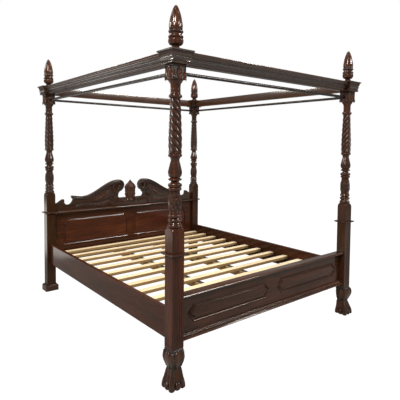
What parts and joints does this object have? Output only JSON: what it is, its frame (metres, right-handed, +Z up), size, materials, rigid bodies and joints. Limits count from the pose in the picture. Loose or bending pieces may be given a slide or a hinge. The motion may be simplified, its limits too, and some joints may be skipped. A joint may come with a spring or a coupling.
{
  "type": "four-poster canopy bed frame",
  "caption": "Carved dark wood four-poster bed frame with an open moulded canopy, curtain rods, panelled headboard and footboard and a slatted base.",
  "frame": {"origin": "on the floor under the middle of the bed, midway between the four posts", "axes": "+Z up, +Y towards the headboard, +X to the right when the bed is seen from its foot"},
  "size_m": [1.844, 2.234, 2.164],
  "materials": {
    "mahogany": "dark red-brown stain under a satin polish",
    "pine": "bare planed softwood",
    "bolt_steel": "zinc plated",
    "webbing": "dark woven tape"
  },
  "bodies": {
    "bed_frame": {"foot_post_left": "mahogany", "foot_post_right": "mahogany", "head_post_left": "mahogany", "head_post_right": "mahogany", "upper_post_foot_left": "mahogany", "upper_post_foot_right": "mahogany", "upper_post_head_left": "mahogany", "upper_post_head_right": "mahogany", "foot_collars": "mahogany", "head_collars": "mahogany", "head_plinth_left": "mahogany", "head_plinth_right": "mahogany", "tester_corner_foot_left": "mahogany", "tester_corner_foot_right": "mahogany", "tester_corner_head_left": "mahogany", "tester_corner_head_right": "mahogany", "tester_rail_foot": "mahogany", "tester_rail_head": "mahogany", "tester_rail_left": "mahogany", "tester_rail_right": "mahogany", "curtain_rods_side": "mahogany", "curtain_rods_end": "mahogany", "side_rail_left": "mahogany", "side_rail_right": "mahogany", "slat_ledger_left": "mahogany", "slat_ledger_right": "mahogany", "bearer_left": "pine", "bearer_right": "pine", "slat_tapes": "webbing", "rail_bolts": "bolt_steel", "slat_1": "pine", "slat_2": "pine", "slat_3": "pine", "slat_4": "pine", "slat_5": "pine", "slat_6": "pine", "slat_7": "pine", "slat_8": "pine", "slat_9": "pine", "slat_10": "pine", "slat_11": "pine", "slat_12": "pine", "footboard_frame": "mahogany", "footboard_panel_left": "mahogany", "footboard_panel_right": "mahogany", "footboard_cap": "mahogany", "footboard_base": "mahogany", "headboard_frame": "mahogany", "headboard_panel_left": "mahogany", "headboard_panel_right": "mahogany", "headboard_shelf": "mahogany", "pediment_board": "mahogany", "swan_neck_left": "mahogany", "swan_neck_right": "mahogany", "pediment_acorn": "mahogany"},
    "finial_foot_left_body": {"finial_foot_left": "mahogany"},
    "finial_foot_right_body": {"finial_foot_right": "mahogany"},
    "finial_head_left_body": {"finial_head_left": "mahogany"},
    "finial_head_right_body": {"finial_head_right": "mahogany"}
  },
  "joints": [
    {"name": "finial_foot_left_lift", "type": "slide", "parent": "bed_frame", "child": "finial_foot_left_body", "axis": [0, 0, 1], "range_m": [0, 0.05]},
    {"name": "finial_foot_right_lift", "type": "slide", "parent": "bed_frame", "child": "finial_foot_right_body", "axis": [0, 0, 1], "range_m": [0, 0.05]},
    {"name": "finial_head_left_lift", "type": "slide", "parent": "bed_frame", "child": "finial_head_left_body", "axis": [0, 0, 1], "range_m": [0, 0.05]},
    {"name": "finial_head_right_lift", "type": "slide", "parent": "bed_frame", "child": "finial_head_right_body", "axis": [0, 0, 1], "range_m": [0, 0.05]}
  ]
}
